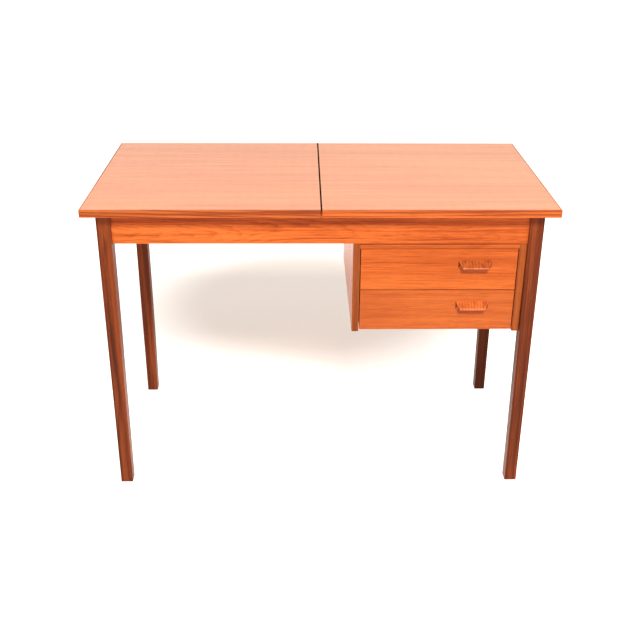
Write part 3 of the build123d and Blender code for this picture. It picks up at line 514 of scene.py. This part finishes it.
def finish(name):
    """The material of one finish, made when it is first asked for."""
    if name in bpy.data.materials:
        return bpy.data.materials[name]
    colours = bpy.context.scene.table_colours
    teak = palette_of("teak")
    lipping = palette_of("teak", colours.lipping_tint)
    plain = dict(streaks=0.3, pores=0.2, ring_mark=0.22, roughness=(0.5, 0.62))
    makers = {
        # the paler top palette paints the sheen and the top light on the leaves
        "teak_top": lambda: wood(
            name, palette_of("top"), "x", heart=(0.05, 0.64), rings=90.0, taper=0.02, wander=0.07,
            streaks=0.42, ring_mark=0.22, clouds=0.9, roughness=(0.28, 0.38), specular=0.62,
        ),
        "teak_apron": lambda: wood(
            name, palette_of("teak", 1.03), "x", heart=(-0.17, 0.665), rings=330.0, taper=0.022, wander=0.06,
            streaks=0.8, ring_mark=0.55, fibres=1.1, pores=0.55, fade=(-0.05, 0.12), specular=0.2,
        ),
        "teak_rail": lambda: wood(
            name, teak, "x", heart=(-0.10, 0.62), rings=230.0, wander=0.02, specular=0.2
        ),
        "teak_across": lambda: wood(name, teak, "y", heart=(0.3, 0.6), rings=210.0, wander=0.02),
        "polished_side": lambda: wood(
            name, teak, "z", heart=(0.10, -0.2), rings=190.0, wander=0.03, roughness=(0.22, 0.34),
            specular=0.8,
        ),
        "plain_side": lambda: wood(
            name, teak, "z", heart=(0.16, -0.3), rings=170.0, wander=0.03, streaks=0.7,
            roughness=(0.4, 0.55), specular=0.25,
        ),
        "upper_front": lambda: wood(
            name, teak, "x", heart=(-0.17, 0.72), rings=300.0, taper=0.010, wander=0.018, streaks=0.4,
            ring_mark=0.32, fibres=1.2, clouds=0.7, specular=0.2,
        ),
        "lower_front": lambda: wood(
            name, palette_of("teak", 0.88), "x", heart=(-0.17, 0.70), rings=280.0, taper=0.014, wander=0.02,
            streaks=0.4, ring_mark=0.35, fibres=1.2, clouds=0.7, specular=0.25, shift=(0.6, 0.0, 0.0),
        ),
        "lipping_left": lambda: wood(
            name, lipping, "x", heart=(-0.266, 0.66), rings=135.0, taper=0.030, streaks=1.6, ring_mark=1.6,
            specular=0.25,
        ),
        "lipping_right": lambda: wood(
            name, palette_of("teak", 0.9), "x", heart=(-0.270, 0.67), rings=120.0, taper=-0.012,
            wander=0.012, streaks=1.3, ring_mark=1.4, specular=0.25, shift=(0.4, 0.0, 0.0),
        ),
        "lipping_across": lambda: wood(
            name, lipping, "y", heart=(0.5, 0.70), rings=300.0, streaks=1.1, ring_mark=0.8, specular=0.25
        ),
        "upright_left": lambda: wood(
            name, palette_of("teak", 0.44), "z", heart=(0.0, -0.25), rings=300.0, streaks=0.8,
            roughness=(0.4, 0.52), specular=0.2,
        ),
        "upright_right": lambda: wood(
            name, palette_of("teak", 0.54), "z", heart=(0.0, -0.22), rings=240.0, streaks=1.0,
            roughness=(0.4, 0.52), specular=0.2,
        ),
        # the rim colours of the pulls are painted highlights on their rounded edges
        "upper_pull": lambda: wood(
            name, palette_of("teak", 0.72), "y", heart=(0.30, 0.55), rings=135.0, wander=0.004, streaks=0.7,
            ring_mark=0.7, fibres=0.3, rub_and_highlight=0.5, rub_and_highlight_colour=(0.80, 0.22, 0.09), roughness=(0.34, 0.46),
        ),
        "lower_pull": lambda: wood(
            name, palette_of("teak", 1.02), "y", heart=(0.28, 0.50), rings=145.0, wander=0.004, streaks=0.6,
            ring_mark=0.8, fibres=0.3, rub_and_highlight=0.5, rub_and_highlight_colour=(0.88, 0.27, 0.12), roughness=(0.34, 0.46),
        ),
        # the back right leg's wood is a darker copy of the leg wood: painted shade
        "leg_dark_wood": lambda: wood(
            name, palette_of("leg", 0.5), "z", heart=(0.07, 0.4), rings=170.0, wander=0.03,
            roughness=(0.3, 0.42), specular=0.1,
        ),
        "leg_wood": lambda: wood(
            name, palette_of("leg"), "z", heart=(0.07, 0.4), rings=170.0, wander=0.03, streaks=1.0,
            ring_mark=0.5, roughness=(0.3, 0.42), specular=0.14,
        ),
        "beech_long": lambda: wood(name, plain_palette(colours.beech), "x", rings=260.0, **plain),
        "beech_across": lambda: wood(name, plain_palette(colours.beech), "y", rings=260.0, **plain),
        "birch_face": lambda: wood(
            name, plain_palette(colours.plywood), "x", heart=(0.1, 0.3), rings=45.0, wander=0.09, **plain
        ),
        "bronzed_brass": lambda: metal(
            name, colours.bronze, tarnish=tinted(colours.bronze, 0.45), roughness=0.5, edge=0.08
        ),
        "screw_steel": lambda: metal(name, colours.steel, tarnish=tinted(colours.steel, 0.6), roughness=0.3),
        "glide_plastic": lambda: worn_plastic(name, colours.glide),
    }
    return makers[name]()


def dress(node, finish_name):
    """Gives a CAD node its finish."""
    slots = frame["nodes"][node].data.materials
    slots.clear()
    slots.append(finish(finish_name))


# ---- Modelling ----------------------------------------------------------------------------------
def place_piece(shape, node, finish_name):
    """Makes the visible piece of a CAD node from a finished bmesh, smooth between its roundings."""
    bmesh.ops.remove_doubles(shape, verts=shape.verts, dist=MERGED)
    bmesh.ops.dissolve_degenerate(shape, dist=MERGED, edges=shape.edges)
    mesh = bpy.data.meshes.new(f"{node}_wood")
    shape.to_mesh(mesh)
    shape.free()
    mesh.materials.append(finish(finish_name))
    mesh.shade_smooth()
    mesh.set_sharp_from_angle(angle=SHARP_ANGLE)
    piece = bpy.data.objects.new(mesh.name, mesh)
    bpy.context.scene.collection.objects.link(piece)
    normals = piece.modifiers.new("Even shading", "WEIGHTED_NORMAL")
    normals.keep_sharp = True
    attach(piece, BODY_OF[node])
    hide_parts(node)
    return piece


def wear_and_light_layer(shape):
    """The layer that carries the marks of wear and dirt, made when it is first asked for."""
    return shape.faces.layers.float.get(WEAR_AND_LIGHT) or shape.faces.layers.float.new(WEAR_AND_LIGHT)


def round_edges(shape, edges, radius, segments, mark=RUBBED_AND_HIGHLIT):
    """Rounds edges, and marks the new faces as rubbed, which also paints a highlight, or as carrying painted
    shade.
    """
    worn = wear_and_light_layer(shape)
    made = bmesh.ops.bevel(
        shape, geom=edges, offset=radius, offset_type="OFFSET", segments=segments, profile=0.5,
        affect="EDGES", clamp_overlap=True, material=-1,
    )
    for face in made["faces"]:
        face[worn] = mark


def copy_of(node):
    """A merged copy of a CAD node, with one face for each flat and its slanted faces marked as rubbed, which
    also paints a highlight on them.
    """
    shape = bmesh.new()
    shape.from_mesh(frame["nodes"][node].data)
    bmesh.ops.remove_doubles(shape, verts=shape.verts, dist=MERGED)
    bmesh.ops.dissolve_limit(shape, angle_limit=FLAT_ANGLE, verts=shape.verts, edges=shape.edges)
    worn = wear_and_light_layer(shape)
    for face in shape.faces:
        slanted = max(abs(part) for part in face.normal) < ALONG
        face[worn] = RUBBED_AND_HIGHLIT if slanted else 0.0
    return shape


def runs_along(edge, axis):
    span = edge.verts[1].co - edge.verts[0].co
    return abs(span[axis]) > ALONG * span.length


def is_in_plane(edge, axis, value):
    return all(abs(vert.co[axis] - value) < IN_PLANE for vert in edge.verts)


def is_corner(edge, outer=True):
    """An outer or an inner corner between two flats."""
    return edge.is_manifold and edge.is_convex == outer and edge.calc_face_angle() > CORNER_ANGLE


def eased(node, finish_name, chosen, radius=None):
    """The piece of a CAD node with its chosen outer corners softened."""
    sizes = bpy.context.scene.table_shape
    shape = copy_of(node)
    edges = [edge for edge in shape.edges if is_corner(edge) and chosen(edge)]
    round_edges(shape, edges, radius or sizes.board_arris, sizes.arris_segments)
    return place_piece(shape, node, finish_name)


class TABLE_OT_leaf_panels(bpy.types.Operator):
    """Veneered boards of both leaves"""

    bl_idname = "sewing_table.leaf_panels"
    bl_label = "Leaf panels"

    def execute(self, context):
        for side in SIDES:
            node = f"{side}_leaf_panel"
            low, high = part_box(node)
            split = high.x if side == "left" else low.x
            eased(node, "teak_top", lambda edge: runs_along(edge, Y) and is_in_plane(edge, X, split))
        return {"FINISHED"}


class TABLE_OT_leaf_lippings(bpy.types.Operator):
    """Solid strips round the leaves"""

    bl_idname = "sewing_table.leaf_lippings"
    bl_label = "Leaf lippings"

    def execute(self, context):
        for side in SIDES:
            self.ease_end(context, side)
            for edge_name in ("front", "back"):
                self.ease_long(context, side, edge_name)
        return {"FINISHED"}

    @staticmethod
    def ease_end(context, side):
        """The end strip runs the whole depth, and only its glued face stays sharp."""
        node = f"{side}_leaf_end_lipping"
        low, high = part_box(node)
        glued = high.x if side == "left" else low.x
        arris = context.scene.table_shape.lipping_arris
        eased(node, "lipping_across", lambda edge: not is_in_plane(edge, X, glued), arris)

    @staticmethod
    def ease_long(context, side, edge_name):
        """The strips on the front and the back are softened on their outer face."""
        node = f"{side}_leaf_{edge_name}_lipping"
        low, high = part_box(node)
        outer = low.y if edge_name == "front" else high.y
        arris = context.scene.table_shape.lipping_arris
        eased(
            node, f"lipping_{side}", lambda edge: runs_along(edge, X) and is_in_plane(edge, Y, outer), arris
        )


class TABLE_OT_legs(bpy.types.Operator):
    """Square legs, tapered on their inner faces below the aprons"""

    bl_idname = "sewing_table.legs"
    bl_label = "Legs"

    def execute(self, context):
        for place in LEG_PLACES:
            node = f"leg_{place}"
            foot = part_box(node)[0].z
            # the back right leg gets painted shade through a darker copy of the leg wood
            board = "leg_dark_wood" if place == "back_right" else "leg_wood"
            eased(node, board, lambda edge: is_in_plane(edge, Z, foot), context.scene.table_shape.foot_arris)
        return {"FINISHED"}


class TABLE_OT_glides(bpy.types.Operator):
    """Round nail-on glides under the legs"""

    bl_idname = "sewing_table.glides"
    bl_label = "Glides"

    def execute(self, context):
        dress("leg_glides", "glide_plastic")
        return {"FINISHED"}


class TABLE_OT_frame_boards(bpy.types.Operator):
    """The aprons and the rails inside them"""

    bl_idname = "sewing_table.frame_boards"
    bl_label = "Frame boards"

    def execute(self, context):
        for node in ("front_apron", "back_apron"):
            eased(node, "teak_apron", lambda edge: runs_along(edge, X))
        for node in ("left_apron", "right_apron"):
            eased(node, "teak_across", lambda edge: runs_along(edge, Y))
        for node in ("cross_rail", "leaf_cleats", "corner_blocks"):
            dress(node, "beech_across")
        return {"FINISHED"}


class TABLE_OT_well(bpy.types.Operator):
    """Floor and battens of the machine well"""

    bl_idname = "sewing_table.well"
    bl_label = "Machine well"

    def execute(self, context):
        dress("well_floor", "birch_face")
        dress("well_battens", "beech_long")
        return {"FINISHED"}


class TABLE_OT_pedestal(bpy.types.Operator):
    """Sides, edges, rails and back of the pedestal"""

    bl_idname = "sewing_table.pedestal"
    bl_label = "Pedestal"

    def execute(self, context):
        for side in SIDES:
            board = "polished_side" if side == "left" else "plain_side"
            eased(f"pedestal_{side}_side", board, lambda edge: runs_along(edge, Y))
            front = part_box(f"pedestal_{side}_lipping")[0].y
            eased(f"pedestal_{side}_lipping", f"upright_{side}", lambda edge: is_in_plane(edge, Y, front))
        self.make_front_rail(context.scene.table_shape)
        dress("pedestal_back", "plain_side")
        for node in ("pedestal_rear_rail", "rail_dowels"):
            dress(node, "beech_long")
        for drawer in DRAWERS:
            dress(f"{drawer}_drawer_runners", "beech_across")
        return {"FINISHED"}

    @staticmethod
    def make_front_rail(sizes):
        """The rail over the upper drawer, with a line of painted shadow where it meets the apron."""
        node = "pedestal_front_rail"
        shape = copy_of(node)
        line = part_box(node)[1].z - sizes.painted_shadow_line
        bmesh.ops.bisect_plane(
            shape, geom=[*shape.verts, *shape.edges, *shape.faces], plane_co=(0.0, 0.0, line),
            plane_no=(0.0, 0.0, 1.0),
        )
        worn = wear_and_light_layer(shape)
        # the strip above the line is darkened: the apron's shadow, painted
        for face in shape.faces:
            if face.calc_center_median().z > line:
                face[worn] = PAINTED_SHADE_MARK
        place_piece(shape, node, "teak_rail")


class TABLE_OT_drawers(bpy.types.Operator):
    """Fronts and boxes of the drawers"""

    bl_idname = "sewing_table.drawers"
    bl_label = "Drawers"

    def execute(self, context):
        for drawer in DRAWERS:
            front = f"{drawer}_drawer_front"
            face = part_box(front)[0].y
            eased(front, f"{drawer}_front", lambda edge: is_in_plane(edge, Y, face))
            for side in SIDES:
                eased(f"{drawer}_drawer_{side}_side", "beech_across", lambda edge: runs_along(edge, Y))
            eased(f"{drawer}_drawer_back", "beech_long", lambda edge: runs_along(edge, X))
            dress(f"{drawer}_drawer_bottom", "birch_face")
        return {"FINISHED"}


class TABLE_OT_pulls(bpy.types.Operator):
    """Wedge-shaped lip pulls with rounded rims and a finger hollow"""

    bl_idname = "sewing_table.pulls"
    bl_label = "Drawer pulls"

    more_hollow_segments = 3
    more_rim_segments = 1

    def execute(self, context):
        for drawer in DRAWERS:
            self.make_pull(context.scene.table_shape, drawer)
        return {"FINISHED"}

    def make_pull(self, sizes, drawer):
        """A wedge across the drawer: its section is pushed through, and then its ends slope in."""
        node = f"{drawer}_drawer_pull"
        low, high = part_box(node)
        shape = bmesh.new()
        outline = [
            (high.y, high.z),
            (low.y + sizes.pull_nose_setback, high.z - sizes.pull_lip_top),
            (low.y, high.z - sizes.pull_lip_bottom),
            (high.y - sizes.pull_hollow_reach, high.z - sizes.pull_hollow),
            (high.y - sizes.pull_foot, low.z),
            (high.y, low.z),
        ]
        section = shape.faces.new([shape.verts.new((low.x, y, z)) for y, z in outline])
        far_end = bmesh.ops.extrude_face_region(shape, geom=[section], use_keep_orig=True)["geom"]
        far_verts = [item for item in far_end if isinstance(item, bmesh.types.BMVert)]
        bmesh.ops.translate(shape, vec=(high.x - low.x, 0.0, 0.0), verts=far_verts)
        self.slope_ends(shape, low, high, sizes.pull_taper)
        bmesh.ops.recalc_face_normals(shape, faces=shape.faces)
        self.round_outside(shape, sizes, high.y)
        worn = wear_and_light_layer(shape)
        # the ends of the pull are darkened: painted shade on its sides
        for face in shape.faces:
            if abs(face.normal.x) > sizes.pull_end_slant:
                face[worn] = PAINTED_SIDE_SHADE_MARK
        place_piece(shape, node, f"{drawer}_pull")

    @staticmethod
    def slope_ends(shape, low, high, taper):
        """Moves every point inwards by its share of the reach."""
        middle = (low.x + high.x) / 2
        for vert in shape.verts:
            reach = (high.y - vert.co.y) / (high.y - low.y)
            inwards = taper * reach * (1.0 if vert.co.x < middle else -1.0)
            bmesh.ops.translate(shape, vec=(inwards, 0.0, 0.0), verts=[vert])

    def round_outside(self, shape, sizes, back):
        """Rounds the finger hollow and every outer edge that isn't against the drawer, which paints a
        highlight on them, and rounds the joint on top, with painted shade in it.
        """
        hollow = [edge for edge in shape.edges if runs_along(edge, X) and is_corner(edge, outer=False)]
        segments = sizes.arris_segments + self.more_hollow_segments
        round_edges(shape, hollow, sizes.pull_hollow_rounding, segments)
        outer = [edge for edge in shape.edges if is_corner(edge) and not is_in_plane(edge, Y, back)]
        round_edges(shape, outer, sizes.pull_rounding, sizes.arris_segments + self.more_rim_segments)
        # the joint between the pull and the drawer is darkened: painted shade in the crease
        top = max(vert.co.z for vert in shape.verts)
        joint = [edge for edge in shape.edges if is_in_plane(edge, Y, back) and is_in_plane(edge, Z, top)]
        round_edges(shape, joint, sizes.pull_rounding, sizes.arris_segments, PAINTED_SHADE_MARK)


class TABLE_OT_metalwork(bpy.types.Operator):
    """Hinge between the leaves, screws and pins"""

    bl_idname = "sewing_table.metalwork"
    bl_label = "Metalwork"

    def execute(self, context):
        for node in frame["nodes"]:
            if node.startswith("hinge_"):
                dress(node, "bronzed_brass")
            elif node.endswith(("_screws", "_pins")):
                dress(node, "screw_steel")
        return {"FINISHED"}


class TABLE_OT_stage(bpy.types.Operator):
    """Floor, light and camera"""

    bl_idname = "sewing_table.stage"
    bl_label = "Stage"

    floor_size = 30.0
    floor_clouds = (1.5, 1.5, 1.5)
    floor_cloud_span = (0.3, 0.7)
    floor_cloud_tints = (0.98, 1.0)
    floor_roughness = 0.7
    floor_specular = 0.2
    shade_middle = (-0.03, 0.86, 0.0)
    shade_size = (0.76, 0.70, 1.0)
    shade_core = 0.45
    white = (1.0, 1.0, 1.0, 1.0)
    backdrop_strength = 1.05
    key_light = dict(place=(0.5, -3.0, 3.2), target=(0.0, 0.0, 0.6), size=(1.1, 0.8))
    wall_light = dict(place=(0.0, 4.2, 3.0), target=(0.0, 0.0, 0.7), size=(6.0, 3.0))
    sensor_width = 36.0

    def execute(self, context):
        stage = context.scene.table_stage
        context.scene.view_settings.view_transform = "Standard"
        self.make_floor(stage)
        self.make_sky(context, stage)
        self.make_light("key_light", stage.key, **self.key_light)
        self.make_light("wall_light", stage.wall, **self.wall_light)
        self.make_camera(context, stage)
        return {"FINISHED"}

    def make_floor(self, stage):
        shape = bmesh.new()
        bmesh.ops.create_grid(shape, x_segments=1, y_segments=1, size=self.floor_size / 2)
        mesh = bpy.data.meshes.new("floor")
        shape.to_mesh(mesh)
        shape.free()
        mesh.materials.append(self.floor_finish(stage))
        floor = bpy.data.objects.new("floor", mesh)
        bpy.context.scene.collection.objects.link(floor)

    def floor_finish(self, stage):
        """Pale paper that glows as if over-lit, and less in an oval shade under the table."""
        material, tree, surface = new_material("pale_floor")
        place = put(tree, "TexCoord").outputs["Object"]
        cloud = stretched_noise(tree, place, self.floor_clouds)
        tones = [tinted(stage.floor, factor) for factor in self.floor_cloud_tints]
        shade = ramp(tree, cloud, zip(self.floor_cloud_span, tones))
        tree.links.new(shade, surface.inputs["Base Color"])
        surface.inputs["Roughness"].default_value = self.floor_roughness
        surface.inputs["Specular IOR Level"].default_value = self.floor_specular
        spot = put(
            tree, "Mapping", {"Vector": place, "Location": self.shade_middle, "Scale": self.shade_size},
            vector_type="TEXTURE",
        )
        away = put(tree, "VectorMath", {0: spot.outputs[0]}, operation="LENGTH").outputs["Value"]
        under, outside = stage.floor_glow
        glow = put(
            tree, "MapRange", {0: away, 1: self.shade_core, 2: 1.0, 3: under, 4: outside},
            interpolation_type="SMOOTHSTEP",
        )
        scattered = put(tree, "LightPath").outputs["Is Diffuse Ray"]
        seen = calc(tree, "SUBTRACT", 1.0, scattered)
        tree.links.new(calc(tree, "MULTIPLY", glow.outputs[0], seen), surface.inputs["Emission Strength"])
        surface.inputs["Emission Color"].default_value = self.white
        return material

    def make_sky(self, context, stage):
        """Even light all round, and a white backdrop wherever the camera looks past the floor."""
        world = bpy.data.worlds.new("studio")
        world.use_nodes = True
        tree = world.node_tree
        tree.nodes.clear()
        light = put(tree, "Background", {"Color": self.white, "Strength": stage.sky})
        backdrop = put(tree, "Background", {"Color": self.white, "Strength": self.backdrop_strength})
        seen = put(tree, "LightPath").outputs["Is Camera Ray"]
        both = put(tree, "MixShader", {0: seen, 1: light.outputs[0], 2: backdrop.outputs[0]})
        put(tree, "OutputWorld", {"Surface": both.outputs[0]})
        context.scene.world = world

    @staticmethod
    def make_light(name, power, place, target, size):
        data = bpy.data.lights.new(name, "AREA")
        data.shape = "RECTANGLE"
        data.size, data.size_y = size
        data.energy = power
        light = bpy.data.objects.new(name, data)
        light.location = place
        light.rotation_euler = (Vector(target) - Vector(place)).to_track_quat("-Z", "Y").to_euler()
        light.visible_camera = False
        bpy.context.scene.collection.objects.link(light)

    def make_camera(self, context, stage):
        data = bpy.data.cameras.new("camera")
        data.lens = stage.lens
        data.sensor_width = self.sensor_width
        camera = bpy.data.objects.new("camera", data)
        turn = Matrix.Rotation(stage.camera_yaw, 4, "Z")
        tip = Matrix.Rotation(math.pi / 2 - stage.camera_pitch, 4, "X")
        roll = Matrix.Rotation(stage.camera_roll, 4, "Z")
        camera.matrix_world = Matrix.Translation(stage.camera_place) @ turn @ tip @ roll
        context.scene.collection.objects.link(camera)
        context.scene.camera = camera


# ---- Add-on -------------------------------------------------------------------------------------
OPERATORS = (
    TABLE_OT_leaf_panels,
    TABLE_OT_leaf_lippings,
    TABLE_OT_legs,
    TABLE_OT_glides,
    TABLE_OT_frame_boards,
    TABLE_OT_well,
    TABLE_OT_pedestal,
    TABLE_OT_drawers,
    TABLE_OT_pulls,
    TABLE_OT_metalwork,
    TABLE_OT_stage,
)


class TABLE_PT_sidebar(bpy.types.Panel):
    """Buttons that build the table's looks"""

    bl_idname = "TABLE_PT_sidebar"
    bl_label = "Sewing table"
    bl_space_type = "VIEW_3D"
    bl_region_type = "UI"
    bl_category = "Sewing table"

    def draw(self, context):
        for operator in OPERATORS:
            self.layout.operator(operator.bl_idname)


GROUPS = {"table_shape": TableShape, "table_colours": TableColours, "table_stage": TableStage}


def register():
    for cls in (*GROUPS.values(), *OPERATORS, TABLE_PT_sidebar):
        bpy.utils.register_class(cls)
    for name, group in GROUPS.items():
        setattr(bpy.types.Scene, name, PointerProperty(type=group))


def unregister():
    for name in GROUPS:
        delattr(bpy.types.Scene, name)
    for cls in reversed((*GROUPS.values(), *OPERATORS, TABLE_PT_sidebar)):
        bpy.utils.unregister_class(cls)


def main():
    register()
    for operator in OPERATORS:
        group, name = operator.bl_idname.split(".")
        getattr(getattr(bpy.ops, group), name)()


if __name__ == "__main__":
    main()
